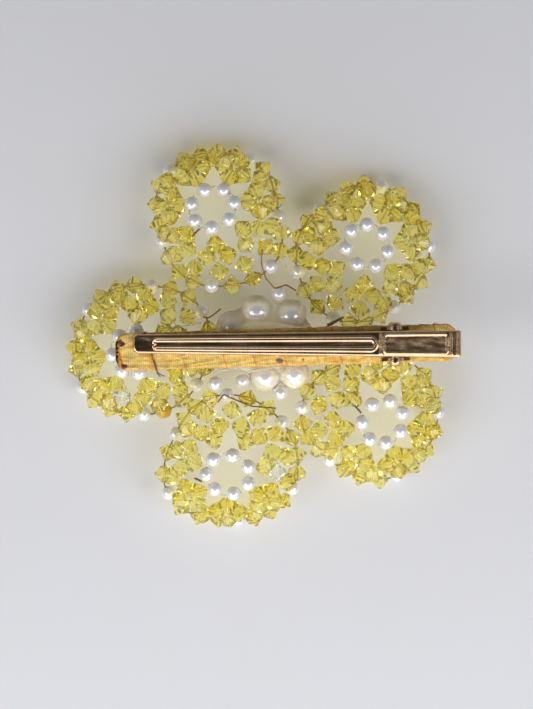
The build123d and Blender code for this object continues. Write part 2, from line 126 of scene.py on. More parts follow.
class ClipFinish(bpy.types.PropertyGroup):
    plating: FloatVectorProperty(
        name="Plating", description="Colour of the rose-gold plating",
        subtype="COLOR", size=3, min=0, max=1, default=(0.78, 0.545, 0.365),
    )
    wire: FloatVectorProperty(
        name="Wire", description="Colour of the bronze craft wire",
        subtype="COLOR", size=3, min=0, max=1, default=(0.30, 0.17, 0.05),
    )
    rib_height: FloatProperty(
        name="Rib height", description="How far the stamped ribs stand up from the lever",
        subtype="DISTANCE", unit="LENGTH", min=0, default=0.2 * MM,
    )
    edge_roll: FloatProperty(
        name="Edge roll", description="Radius of the lever's rolled edges",
        subtype="DISTANCE", unit="LENGTH", min=0, default=0.5 * MM,
    )


class RibbonFinish(bpy.types.PropertyGroup):
    gold: FloatVectorProperty(
        name="Ribbon gold", description="Colour of the ribbon where it lies flat",
        subtype="COLOR", size=3, min=0, max=1, default=(1.0, 0.71, 0.19),
    )
    # Deep orange: painted shade in the ribbon's creases, folds, dips and sides, laid deeper towards
    # its ends, and the darker tone of its loose fibres.
    fibre_and_shade_orange: FloatVectorProperty(
        name="Ribbon crease", description="Colour of the creases and raw edges",
        subtype="COLOR", size=3, min=0, max=1, default=(0.78, 0.27, 0.02),
    )
    fold_height: FloatProperty(
        name="Fold height", description="How far the ribbon's folds stand up",
        subtype="DISTANCE", unit="LENGTH", min=0, default=0.36 * MM,
    )
    fray_count: IntProperty(
        name="Frayed fibres", description="Number of loose fibres at the ribbon's raw edges",
        min=0, default=110,
    )
    glue: FloatVectorProperty(
        name="Glue", description="Colour of the set glue",
        subtype="COLOR", size=3, min=0, max=1, default=(1.0, 0.93, 0.79),
    )


class StageSettings(bpy.types.PropertyGroup):
    floor: FloatVectorProperty(
        name="Floor", description="Colour of the pale floor",
        subtype="COLOR", size=3, min=0, max=1, default=(0.765, 0.77, 0.82),
    )
    softbox_power: FloatProperty(
        name="Softbox power", description="Power of each of the two softboxes in watts",
        min=0, default=1.02,
    )
    camera_distance: FloatProperty(
        name="Camera distance", description="Height of the camera above the flower",
        subtype="DISTANCE", unit="LENGTH", min=0.1, default=0.9,
    )
    view_height: FloatProperty(
        name="View height",
        description="Length of floor seen from the top of the view to the bottom",
        subtype="DISTANCE", unit="LENGTH", min=0.01, default=141.8 * MM,
    )


# ---------------------------------------------------------------- making meshes and materials


def node(tree, kind, inputs=None, **settings):
    made = tree.nodes.new(kind)
    for key, value in settings.items():
        setattr(made, key, value)
    for key, value in (inputs or {}).items():
        made.inputs[key].default_value = value
    return made


def material(name, **values):
    """A new material, its node tree and its Principled shader with the given inputs."""
    made = bpy.data.materials.new(name)
    made.use_nodes = True
    body = made.node_tree.nodes["Principled BSDF"]
    for key, value in values.items():
        body.inputs[key.replace("_", " ")].default_value = value
    return made, made.node_tree, body


def blotches(tree, scale, detail=2.0, stretch=(1, 1, 1)):
    """A noise texture in the object's own coordinates, with scale in blotches per millimetre."""
    place = node(tree, "ShaderNodeTexCoord")
    mapping = node(tree, "ShaderNodeMapping")
    mapping.inputs["Scale"].default_value = [1000 * scale * s for s in stretch]
    pattern = node(tree, "ShaderNodeTexNoise", {"Scale": 1.0, "Detail": detail})
    tree.links.new(place.outputs["Object"], mapping.inputs["Vector"])
    tree.links.new(mapping.outputs["Vector"], pattern.inputs["Vector"])
    return pattern.outputs["Fac"]


def ramp(tree, source, *stops):
    """A colour ramp over a value: stops are (place, colour)."""
    made = node(tree, "ShaderNodeValToRGB")
    band = made.color_ramp
    while len(band.elements) < len(stops):
        band.elements.new(0.5)
    for element, (place, colour) in zip(band.elements, stops):
        element.position = place
        element.color = (*colour, 1)
    tree.links.new(source, made.inputs["Fac"])
    return made.outputs["Color"]


def grey(value):
    return (value, value, value)


def paint(tree, body, source, *stops, onto="Base Color"):
    """Drives an input of the shader by a colour ramp over a value."""
    tree.links.new(ramp(tree, source, *stops), body.inputs[onto])


def bump(tree, body, source, distance, strength=1.0):
    made = node(tree, "ShaderNodeBump", {"Strength": strength, "Distance": distance})
    tree.links.new(source, made.inputs["Height"])
    tree.links.new(made.outputs["Normal"], body.inputs["Normal"])
    return made


def through_for_lamps(made, tint):
    """Lets lamps shine through a glassy material, tinted on the way."""
    tree = made.node_tree
    body = tree.nodes["Principled BSDF"]
    out = tree.nodes["Material Output"]
    path = node(tree, "ShaderNodeLightPath")
    clear = node(tree, "ShaderNodeBsdfTransparent", {"Color": (*tint, 1)})
    mix = node(tree, "ShaderNodeMixShader")
    tree.links.new(path.outputs["Is Shadow Ray"], mix.inputs["Fac"])
    tree.links.new(body.outputs["BSDF"], mix.inputs[1])
    tree.links.new(clear.outputs["BSDF"], mix.inputs[2])
    tree.links.new(mix.outputs["Shader"], out.inputs["Surface"])


def finish_node(name, finish):
    """Gives a CAD node a material."""
    slots = frame["nodes"][name].data.materials
    slots.clear()
    slots.append(finish)


def join_corners(part):
    """Welds the split corners of a CAD node's mesh."""
    weld = part.modifiers.new("joined_corners", "WELD")
    weld.merge_threshold = WELD_GAP


def mesh_piece(name, verts, faces, finish):
    mesh = bpy.data.meshes.new(name)
    mesh.from_pydata(verts, [], faces)
    mesh.materials.append(finish)
    for face in mesh.polygons:
        face.use_smooth = True
    piece = bpy.data.objects.new(name, mesh)
    bpy.context.collection.objects.link(piece)
    return piece


def wire_piece(name, routes, radius, finish):
    """A curve of smooth wires through the given points."""
    curve = bpy.data.curves.new(name, "CURVE")
    curve.dimensions = "3D"
    curve.bevel_depth = radius
    curve.bevel_resolution = 3
    curve.materials.append(finish)
    for route in routes:
        spline = curve.splines.new("NURBS")
        spline.points.add(len(route) - 1)
        for point, place in zip(spline.points, route):
            point.co = (*place, 1)
        spline.order_u = 3
        spline.use_endpoint_u = True
    piece = bpy.data.objects.new(name, curve)
    bpy.context.collection.objects.link(piece)
    return piece


def along_base(along, across, height):
    """A point by its place along and across the base arm, counted from the pivot."""
    return Vector((
        pivot.x + along * math.cos(base_yaw) - across * math.sin(base_yaw),
        pivot.y + along * math.sin(base_yaw) + across * math.cos(base_yaw),
        height,
    ))


# ---------------------------------------------------------------- beads


INNER_SWELL = 1.7  # how much more the crystals inside a petal swell than those on its rim
FACET_ANGLE = math.radians(25)


def crystal_finish(name, deep, pale, shade):
    made, tree, body = material(name, Roughness=0.02, IOR=1.49, Transmission_Weight=0.93)
    paint(tree, body, blotches(tree, 0.22), (0.36, deep), (0.62, pale))
    bump(tree, body, blotches(tree, 0.9, 3), 0.02 * MM, 0.35)
    through_for_lamps(made, shade)
    return made


class HAIRCLIP_OT_crystals(bpy.types.Operator):
    """Give the faceted beads their clear acrylic and soften their edges"""

    bl_idname = "hairclip.crystals"
    bl_label = "Crystals"

    def execute(self, context):
        look = context.scene.hairclip_beads
        yellow = crystal_finish(
            "yellow_acrylic", look.deep_yellow, look.pale_yellow, THROUGH_YELLOW,
        )
        clear = crystal_finish("clear_acrylic", look.clear, look.clear, THROUGH_CLEAR)
        amber, tree, body = material(
            "amber_acrylic", Roughness=0.12, IOR=1.49, Transmission_Weight=0.35,
        )
        amber_dark = [0.8 * c for c in look.amber]
        paint(tree, body, blotches(tree, 0.8), (0.3, amber_dark), (0.7, look.amber))
        body.inputs["Coat Weight"].default_value = 0.6
        finishes = {"clear_crystals": clear, "amber_bead": amber}
        for n in PETALS:
            finishes[f"petal_{n}_rim_crystals"] = yellow
            finishes[f"petal_{n}_weave_crystals"] = yellow
        for name, finish in finishes.items():
            finish_node(name, finish)
            if name != "amber_bead":
                bead = frame["nodes"][name]
                join_corners(bead)
                snug = bead.modifiers.new("touching_beads", "DISPLACE")
                snug.mid_level = 0
                snug.strength = look.bead_swell * (1.0 if "rim" in name else INNER_SWELL)
                edge = bead.modifiers.new("soft_facets", "BEVEL")
                edge.width = look.facet_edge
                edge.segments = 2
                edge.limit_method = "ANGLE"
                edge.angle_limit = FACET_ANGLE
        return {"FINISHED"}


class HAIRCLIP_OT_pearls(bpy.types.Operator):
    """Give the imitation pearls their lustre"""

    bl_idname = "hairclip.pearls"
    bl_label = "Pearls"

    def execute(self, context):
        look = context.scene.hairclip_beads
        made, tree, body = material(
            "pearl_lustre", Metallic=0.28, Roughness=0.2, Coat_Weight=0.7, Coat_Roughness=0.05,
        )
        cool = [c * s for c, s in zip(look.pearl, (0.95, 0.96, 1.0))]
        paint(tree, body, blotches(tree, 0.6, 4), (0.35, cool), (0.65, look.pearl))
        mottle = blotches(tree, 1.7)
        paint(tree, body, mottle, (0.3, grey(0.16)), (0.7, grey(0.26)), onto="Roughness")
        names = ["centre_large_pearls", "centre_small_pearls"]
        for n in PETALS:
            names += [f"petal_{n}_rim_pearls", f"petal_{n}_ring_pearls"]
        for name in names:
            finish_node(name, made)
        return {"FINISHED"}


# ---------------------------------------------------------------- wires and threads


TWIST_STEPS = 6  # points in each turn of a twisted pair
TAIL_RADIUS = 0.12 * MM
LINE_RADIUS = 0.1 * MM

# Twisted ends over a petal's ring, as (petal, foot, tip), in millimetres.
PETAL_TAILS = (
    (1, (-13.7, 19.8), (-12.2, 21.3)),
    (5, (18.0, -13.1), (19.9, -15.3)),
    (4, (-13.2, -28.3), (-11.8, -28.9)),
)
# Clear lines between the petals, in millimetres.
NYLON_ROUTES = (
    ((3.0, 19.4, 9.5), (4.0, 16.6, 11.2), (5.1, 13.4, 11.6)),
    ((-19.8, 1.1, 12.4), (-15.6, 2.0, 13.2), (-11.8, 2.6, 12.6)),
    ((-9.6, -7.4, 13.6), (-4.0, -6.0, 14.2), (1.2, -5.4, 14.3)),
    ((-7.4, -8.6, 13.2), (-2.2, -6.9, 14.0), (4.4, -6.0, 14.2)),
)


def twisted_pair(start, end, spread, turns):
    """Two strands wound round the line from start to end."""
    way = end - start
    side = way.cross(Vector((0, 0, 1))).normalized()
    up = side.cross(way).normalized()
    routes = []
    for half in (0, math.pi):
        route = []
        for i in range(TWIST_STEPS * turns + 1):
            share = i / (TWIST_STEPS * turns)
            spin = half + 2 * math.pi * turns * share
            around = side * math.cos(spin) + up * math.sin(spin)
            route.append(start + way * share + around * spread)
        routes.append(route)
    return routes


class HAIRCLIP_OT_wires(bpy.types.Operator):
    """Finish the bronze wires and the clear threads that string the beads"""

    bl_idname = "hairclip.wires"
    bl_label = "Wires and Threads"

    def execute(self, context):
        look = context.scene.hairclip_clip
        bronze, tree, body = material("bronze_wire", Metallic=0.9, Roughness=0.35)
        dark = [0.55 * c for c in look.wire]
        paint(tree, body, blotches(tree, 1.3, 4), (0.35, dark), (0.7, look.wire))
        bump(tree, body, blotches(tree, 6.0), 0.01 * MM, 0.4)
        nylon, tree, body = material("nylon_line", Roughness=0.15, IOR=1.5, Transmission_Weight=0.7)
        paint(tree, body, blotches(tree, 0.7), (0.3, (0.80, 0.80, 0.72)), (0.7, (0.93, 0.93, 0.88)))
        through_for_lamps(nylon, THROUGH_NYLON)
        finish_node("tie_wires", bronze)
        for n in PETALS:
            finish_node(f"petal_{n}_rim_wire", bronze)
            finish_node(f"petal_{n}_weave_thread", nylon)

        routes = []
        for n, start, end in PETAL_TAILS:
            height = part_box(f"petal_{n}_ring_pearls")[1].z - 1.1 * MM
            foot = Vector((start[0] * MM, start[1] * MM, height - 0.5 * MM))
            tip = Vector((end[0] * MM, end[1] * MM, height + 0.4 * MM))
            routes += twisted_pair(foot, tip, 0.13 * MM, 2)
        clip_side = ribbon_low.z + 0.5 * MM
        foot = Vector((13.2 * MM, 2.2 * MM, clip_side))
        tip = Vector((16.4 * MM, 3.7 * MM, clip_side))
        routes += twisted_pair(foot, tip, 0.17 * MM, 3)
        tails = wire_piece("wire_tails", routes, TAIL_RADIUS, bronze)
        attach(tails, BASE)

        lines = [[Vector(point) * MM for point in route] for route in NYLON_ROUTES]
        line = wire_piece("nylon_lines", lines, LINE_RADIUS, nylon)
        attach(line, BASE)
        return {"FINISHED"}


# ---------------------------------------------------------------- clip


def plating_finish(look):
    made, tree, body = material("rose_gold_plating", Metallic=1.0, Roughness=0.2)
    worn = [c * s for c, s in zip(look.plating, (0.86, 0.84, 0.74))]
    paint(tree, body, blotches(tree, 0.35, 5), (0.4, worn), (0.62, look.plating))
    streaks = blotches(tree, 1.2, 6, (0.12, 1, 1))
    paint(tree, body, streaks, (0.35, grey(0.13)), (0.75, grey(0.34)), onto="Roughness")
    bump(tree, body, streaks, 0.012 * MM, 0.6)
    return made


class HAIRCLIP_OT_base(bpy.types.Operator):
    """Finish the base arm, pin and spring"""

    bl_idname = "hairclip.base"
    bl_label = "Base Arm, Pin and Spring"

    def execute(self, context):
        plating = plating_finish(context.scene.hairclip_clip)
        for name in ("base_arm", "pivot_pin"):
            finish_node(name, plating)
            join_corners(frame["nodes"][name])
        steel, tree, body = material("spring_steel", Metallic=1.0, Roughness=0.3)
        dark, pale = (0.36, 0.35, 0.33), (0.60, 0.58, 0.55)
        paint(tree, body, blotches(tree, 1.5, 4), (0.3, dark), (0.7, pale))
        finish_node("torsion_spring", steel)
        return {"FINISHED"}


# The lever's outline, counted from the pivot.
LEVER_FRONT = 52.0 * MM
LEVER_REAR = 12.8 * MM
LEVER_BEND = 2.6 * MM
BEND_EASE = 1.2 * MM
TIP_HALF = 1.9 * MM
TAIL_HALF = 2.7 * MM
FRONT_CORNER = 1.15 * MM
TAIL_CORNER = 0.5 * MM
CREST_OVER_PIVOT = 2.17 * MM
TIP_OVER_RIBBON = 1.08 * MM
LEVER_ROWS, LEVER_COLUMNS, SKIRT_STEPS = 560, 52, 5
SHEET_METAL = 0.4 * MM

# Its skirts: their lower edge rises behind the ears and runs up to the tail.
EAR_REAR = 0.8 * MM
SKIRT_STEP_REAR = 2.0 * MM
SKIRT_STEP = 0.3 * MM
TAIL_SKIRT = 1.5 * MM

# The pattern stamped into its back. Places are along the lever from the pivot, tail positive.
PATTERN_MIDDLE = -20 * MM  # where the pattern has its plain width
RIB_SPREAD = 1.0 * MM
RIB_HALF = 0.55 * MM
RIB_TIP = -LEVER_FRONT + 4.6 * MM
RIB_LOOP = -4.9 * MM
HOOK_RADIUS = 0.5 * MM
HOOK_WIDTH = 0.22 * MM
CROSS_RIDGES = (-2.9 * MM, 10.9 * MM, 12.3 * MM)
RIDGE_REACH = 2.0 * MM
RIDGE_WIDTH = 0.35 * MM
PANEL_MIDDLE = 4.0 * MM
PANEL_HALF_LENGTH = 6.1 * MM
PANEL_HALF_WIDTH = 1.65 * MM
PANEL_CORNER = 0.4 * MM
PANEL_LINE = 0.3 * MM
PAD_GAP = 2.0 * MM
PAD_RADIUS = 1.1 * MM
PAD_EDGE = 0.6 * MM


def lever_half(along):
    share = (along + LEVER_FRONT) / (LEVER_FRONT + LEVER_REAR)
    return TIP_HALF + (TAIL_HALF - TIP_HALF) * share


def to_capsule(along, across, start, end, offset):
    """Distance from the middle line of a straight rib that runs along the lever at an offset."""
    beyond = max(start - along, along - end, 0.0)
    return math.hypot(beyond, across - offset)


def bulge(distance, width):
    """A smooth ridge: one at its middle line, none beyond its width."""
    if distance >= width:
        return 0.0
    return (1 - (distance / width) ** 2) ** 2


def stamped(along, across, rib):
    """Height of the lever's stamped pattern.

    Two long ribs are joined by a loop, with a cross ridge, a blank panel and end ridges.
    """
    wide = lever_half(along) / lever_half(PATTERN_MIDDLE)
    across = across / wide
    near = min(
        to_capsule(along, across, RIB_TIP, RIB_LOOP, RIB_SPREAD),
        to_capsule(along, across, RIB_TIP, RIB_LOOP, -RIB_SPREAD),
    )
    if along > RIB_LOOP:
        near = min(near, abs(math.hypot(along - RIB_LOOP, across) - RIB_SPREAD))
    plateau = 1 - max(0.0, min(1.0, (near - 0.6 * RIB_HALF) / (0.4 * RIB_HALF)))
    height = rib * plateau * plateau * (3 - 2 * plateau)
    height -= 0.5 * rib * bulge(near, 0.3 * RIB_HALF)
    if along < RIB_TIP:
        hook = abs(math.hypot(along - RIB_TIP, abs(across) - HOOK_RADIUS) - HOOK_RADIUS)
        height += rib * bulge(hook, HOOK_WIDTH)
    for ridge in CROSS_RIDGES:
        if abs(across) < RIDGE_REACH:
            height += rib * bulge(abs(along - ridge), RIDGE_WIDTH)
    panel_x = abs(along - PANEL_MIDDLE) - PANEL_HALF_LENGTH
    panel_y = abs(across) - PANEL_HALF_WIDTH
    past_x = max(panel_x + PANEL_CORNER, 0)
    past_y = max(panel_y + PANEL_CORNER, 0)
    outside = math.hypot(past_x, past_y) - PANEL_CORNER
    frame_line = outside if outside > -PANEL_CORNER else max(panel_x, panel_y)
    height += 0.9 * rib * bulge(abs(frame_line), PANEL_LINE)
    pad = math.hypot(along + LEVER_FRONT - PAD_GAP, across) - PAD_RADIUS
    height -= 0.35 * rib * (1 - max(0.0, min(1.0, pad / PAD_EDGE)))
    return height


class HAIRCLIP_OT_lever(bpy.types.Operator):
    """Build the stamped, rolled-edge lever with its ribs and blank panel"""

    bl_idname = "hairclip.lever"
    bl_label = "Lever"

    def execute(self, context):
        look = context.scene.hairclip_clip
        low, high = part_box("lever")
        top = pivot.z + CREST_OVER_PIVOT
        tip_top = ribbon_high.z + TIP_OVER_RIBBON
        front_rise = (top - tip_top) / (LEVER_FRONT - LEVER_BEND)
        tail_rise = (high.z - top) / (LEVER_REAR + LEVER_BEND)
        lowest = low.z
        roll = look.edge_roll
        rows, columns = LEVER_ROWS, LEVER_COLUMNS

        def level(along):
            """Height of the flat of the lever, eased over its bend."""
            past = along + LEVER_BEND
            if abs(past) < BEND_EASE:
                share = (past + BEND_EASE) / (2 * BEND_EASE)
                slope = front_rise * past + (tail_rise - front_rise) * BEND_EASE * share * share
                return top + slope
            return top + past * (front_rise if past < 0 else tail_rise)

        def skirt(along):
            """Height of the skirts' lower edge."""
            if along < EAR_REAR:
                return lowest
            if along < SKIRT_STEP_REAR:
                return lowest + SKIRT_STEP * (along - EAR_REAR) / (SKIRT_STEP_REAR - EAR_REAR)
            climb = high.z - TAIL_SKIRT - lowest - SKIRT_STEP
            share = (along - SKIRT_STEP_REAR) / (LEVER_REAR - SKIRT_STEP_REAR)
            return lowest + SKIRT_STEP + climb * share

        verts = []
        for i in range(rows + 1):
            share = i / rows
            share = share - 0.012 * math.sin(2 * math.pi * share)
            along = -LEVER_FRONT + (LEVER_FRONT + LEVER_REAR) * share
            end_gap = min(along + LEVER_FRONT, LEVER_REAR - along)
            full = lever_half(along)
            square = FRONT_CORNER if along < 0 else TAIL_CORNER
            cut = max(square - end_gap, 0)
            half = full - square + math.sqrt(max(square**2 - cut**2, 0))
            for j in range(columns + 1):
                across = half * math.sin(math.pi / 2 * (2 * j / columns - 1))
                side_cut = max(square - (full - abs(across)), 0)
                if cut > 0 and side_cut > 0:
                    edge = square - math.hypot(cut, side_cut)
                else:
                    edge = min(end_gap, full - abs(across))
                edge = max(0.0, min(edge, roll))
                drop = roll - math.sqrt(max(roll**2 - (roll - edge) ** 2, 0))
                height = level(along) - drop + stamped(along, across, look.rib_height) * edge / roll
                verts.append((pivot.x + along, pivot.y + across, height))
        wide = columns + 1
        faces = [
            (i * wide + j, (i + 1) * wide + j, (i + 1) * wide + j + 1, i * wide + j + 1)
            for i in range(rows) for j in range(columns)
        ]
        rim = list(range(columns + 1))
        rim += [i * wide + columns for i in range(1, rows + 1)]
        rim += [rows * wide + j for j in range(columns - 1, -1, -1)]
        rim += [i * wide for i in range(rows - 1, 0, -1)]
        rings = [rim]
        for k in range(1, SKIRT_STEPS + 1):
            ring = []
            for index in rim:
                x, y, z = verts[index]
                bottom = skirt(x - pivot.x)
                ring.append(len(verts))
                verts.append((x, y, z + (bottom - z) * k / SKIRT_STEPS))
            rings.append(ring)
        for upper, lower in zip(rings, rings[1:]):
            for k in range(len(rim)):
                after = (k + 1) % len(rim)
                faces.append((upper[k], upper[after], lower[after], lower[k]))
        plating = bpy.data.materials["rose_gold_plating"]
        piece = mesh_piece("stamped_lever", verts, faces, plating)
        thick = piece.modifiers.new("sheet_metal", "SOLIDIFY")
        thick.thickness = SHEET_METAL
        thick.offset = -1
        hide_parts("lever")
        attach(piece, LEVER)
        return {"FINISHED"}


# ---------------------------------------------------------------- ribbon


# The ribbon round the arm, counted from the pivot.
RIBBON_FRONT, RIBBON_REAR = -54.9 * MM, 12.0 * MM
RIBBON_HALF_WIDTH = 3.72 * MM
RIBBON_CORNER = 0.45 * MM
TIP_ROUNDING = 2.2 * MM
RIBBON_ROWS = 470
RIBBON_STEP = 0.17 * MM
RIBBON_THICKNESS = 0.2 * MM
TURN_LEAST, TURN_MOST = 3.6, 8.5  # length of arm that one turn of the ribbon covers, in millimetres
TURN_SLANT = 0.28
FIBRE_RADIUS = 0.035 * MM

# Stains on its top, as ((x, y), size, colour), in millimetres.
STAINS = (
    ((-27.6, -1.4), 1.0, (0.13, 0.01, 0.005)),
    ((-27.3, -6.2), 0.7, (0.16, 0.02, 0.01)),
    ((3.6, -4.9), 0.75, (0.33, 0.13, 0.15)),
    ((24.0, -5.2), 0.45, (0.3, 0.1, 0.05)),
    ((8.4, -4.6), 0.3, (0.35, 0.13, 0.05)),
)


def ribbon_outline(half_width, half_height, corner, step):
    """Points and outward normals round a rounded rectangle.

    Each is (across, up, normal across, normal up).
    """
    points = []
    quarters = [(1, 1, 0), (-1, 1, 90), (-1, -1, 180), (1, -1, 270)]
    flat, side = half_width - corner, half_height - corner
    turns = 5
    for k, (sx, sy, start) in enumerate(quarters):
        for t in range(turns + 1):
            angle = math.radians(start + 90 * t / turns)
            nx, ny = math.cos(angle), math.sin(angle)
            points.append((sx * flat + corner * nx, sy * side + corner * ny, nx, ny))
        after_x, after_y, _ = quarters[(k + 1) % 4]
        angle = math.radians(start + 90)
        nx, ny = math.cos(angle), math.sin(angle)
        here = (sx * flat, sy * side)
        there = (after_x * flat, after_y * side)
        length = math.hypot(there[0] - here[0], there[1] - here[1])
        count = max(1, round(length / step))
        for t in range(1, count):
            share = t / count
            points.append((
                here[0] + (there[0] - here[0]) * share + corner * nx,
                here[1] + (there[1] - here[1]) * share + corner * ny,
                nx, ny,
            ))
    return points


def ribbon_finish(look):
    made, tree, body = material(
        "golden_ribbon", Roughness=0.55, Sheen_Weight=0.35, Sheen_Roughness=0.4,
    )
    # The "tint" colours carry the ribbon's gold, its stains and its painted shade in the creases,
    # folds, dips and sides.
    tint = node(tree, "ShaderNodeVertexColor", layer_name="tint")
    place = node(tree, "ShaderNodeTexCoord")
    fibres = node(tree, "ShaderNodeTexWave", {
        "Scale": 1000 * 0.85, "Distortion": 5.0, "Detail": 3.0, "Detail Scale": 1.4,
    }, wave_type="BANDS", bands_direction="X")
    tree.links.new(place.outputs["Object"], fibres.inputs["Vector"])
    shade = ramp(tree, fibres.outputs["Fac"], (0.0, grey(0.70)), (0.55, grey(1.0)))
    mottle = ramp(tree, blotches(tree, 0.9, 5), (0.3, grey(0.78)), (0.65, grey(1.1)))
    both = node(tree, "ShaderNodeMix", {"Factor": 1.0}, data_type="RGBA", blend_type="MULTIPLY")
    last = node(tree, "ShaderNodeMix", {"Factor": 1.0}, data_type="RGBA", blend_type="MULTIPLY")
    tree.links.new(shade, both.inputs[6])
    tree.links.new(mottle, both.inputs[7])
    tree.links.new(both.outputs[2], last.inputs[6])
    tree.links.new(tint.outputs["Color"], last.inputs[7])
    tree.links.new(last.outputs[2], body.inputs["Base Color"])
    bump(tree, body, fibres.outputs["Fac"], 0.08 * MM, 0.8)
    return made


class HAIRCLIP_OT_ribbon(bpy.types.Operator):
    """Wind the creased golden ribbon round the base arm, with its raw edges and stains"""

    bl_idname = "hairclip.ribbon"
    bl_label = "Ribbon"

    def execute(self, context):
        look = context.scene.hairclip_ribbon
        chance = random.Random(11)
        front, rear = RIBBON_FRONT, RIBBON_REAR
        half_width = RIBBON_HALF_WIDTH
        middle = ribbon_middle
        outline = ribbon_outline(half_width, ribbon_half_height, RIBBON_CORNER, RIBBON_STEP)
        around = len(outline)
        rows = RIBBON_ROWS
        edges = [front]
        while edges[-1] < rear:
            edges.append(edges[-1] + chance.uniform(TURN_LEAST, TURN_MOST) * MM)
        verts, tints = [], []
        for i in range(rows + 1):
            for j, (across, up, nx, nz) in enumerate(outline):
                ragged = 0.45 * MM * noise.noise((j * 0.5, 3.1, 0))
                ragged += 0.3 * MM * noise.noise((j * 1.7, 9.4, 0))
                start = front + ragged if i < rows / 2 else front
                end = rear + 0.5 * ragged if i > rows / 2 else rear
                along = start + (end - start) * i / rows
                end_gap = min(along - front, rear - along) + 0.3 * MM
                cut = min(max(TIP_ROUNDING - end_gap, 0), TIP_ROUNDING)
                rounded = math.sqrt(max(TIP_ROUNDING**2 - cut**2, 0))
                squeeze = (half_width - TIP_ROUNDING + rounded) / half_width
                slanted = along + TURN_SLANT * across * (1 if nz >= 0 else -1)
                before = max((e for e in edges if e <= slanted), default=edges[0])
                behind = slanted - before
                lap = math.exp(-behind / (1.1 * MM))
                seam = math.exp(-((behind / (0.26 * MM)) ** 2))
                place = Vector((along / (7 * MM), across / (1.0 * MM), nz * 2.0))
                folds = 1 - abs(noise.noise(place)) * 3.2
                folds = max(folds, 0) ** 3
                cross = noise.noise((along / (0.7 * MM), across / (4 * MM), nz * 3 + 7))
                small = noise.noise((along / (1.6 * MM), across / (1.3 * MM), nz * 3 + 40))
                rise = 0.45 * lap + 0.55 * folds + 0.22 * cross + 0.25 * small - 0.35 * seam - 0.2
                lift = look.fold_height * rise
                x, y = across * squeeze + nx * lift, up + nz * lift
                point = along_base(along, x, middle + y)
                verts.append(point)
                # How far each point goes towards the deep orange: painted shade in the lap seams,
                # along the folds and in the dips, deeper orange towards the ribbon's ends, and
                # painted shade down its sides.
                deep = 0.95 * seam + max(0.0, 0.55 * (folds - 0.45)) + max(0.0, -0.9 * small - 0.1)
                deep += 0.6 * max(0.0, 1 - abs(end_gap - 0.3 * MM) / (0.7 * MM))
                # Painted shade down the ribbon's sides.
                deep += 0.35 if abs(nx) > 0.4 else 0.0
                deep = min(1.0, deep)
                colour = [a + (b - a) * deep for a, b in zip(look.gold, look.fibre_and_shade_orange)]
                for (stain_x, stain_y), size, stain in STAINS:
                    gap = math.hypot(point.x / MM - stain_x, (point.y / MM - stain_y) * 1.2)
                    gap += 0.9 * size * noise.noise(point * 1300) + 0.3 * small
                    wet = max(0.0, min(1.0, (size - gap) / (0.35 * size)))
                    if nz >= 0:
                        colour = [a + (b - a) * wet for a, b in zip(colour, stain)]
                tints.append(colour)
        faces = []
        for i in range(rows):
            for j in range(around):
                k = (j + 1) % around
                here, above = i * around, (i + 1) * around
                faces.append((here + j, here + k, above + k, above + j))
        piece = mesh_piece("golden_ribbon", verts, faces, ribbon_finish(look))
        layer = piece.data.color_attributes.new("tint", "FLOAT_COLOR", "POINT")
        layer.data.foreach_set("color", [v for colour in tints for v in (*colour, 1.0)])
        thick = piece.modifiers.new("ribbon_thickness", "SOLIDIFY")
        thick.thickness = RIBBON_THICKNESS
        thick.offset = -1
        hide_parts("ribbon_wrap")
        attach(piece, BASE)

        fibres, tree, body = material("ribbon_fibre", Roughness=0.7, Sheen_Weight=0.3)
        paint(tree, body, blotches(tree, 0.8), (0.35, look.fibre_and_shade_orange), (0.7, look.gold))
        routes = []
        for _ in range(look.fray_count):
            if chance.random() < 0.6:
                across = chance.uniform(-3.3, 3.5) * MM
                height = middle + chance.uniform(-0.6, 0.9) * MM
                foot = along_base(front + 0.5 * MM, across, height)
                way = Vector((-1, chance.uniform(-0.6, 0.6), chance.uniform(-0.3, 0.5)))
            else:
                side = chance.choice((-1, -1, 1))
                along = chance.choice(edges[1:-1]) + chance.uniform(-0.3, 0.3) * MM
                foot = along_base(along, side * 3.55 * MM, middle + chance.uniform(-0.2, 0.8) * MM)
                way = Vector((chance.uniform(-1, 1), side * 0.6, chance.uniform(-0.2, 0.5)))
            length = chance.uniform(0.4, 1.1) * MM
            way = way.normalized() * length
            sway = Vector([chance.uniform(-0.25, 0.25) * length for _ in range(3)])
            routes.append([foot, foot + way * 0.5 + sway, foot + way])
        fray = wire_piece("ribbon_fray", routes, FIBRE_RADIUS, fibres)
        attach(fray, BASE)
        return {"FINISHED"}


BINDING_HALF_WIDTH = 3.78 * MM
BINDING_LIFT = 0.1 * MM
BINDING_SLANT = math.tan(math.radians(16))
BINDING_PLACE = -48.6
THREAD_RADIUS = 0.11 * MM


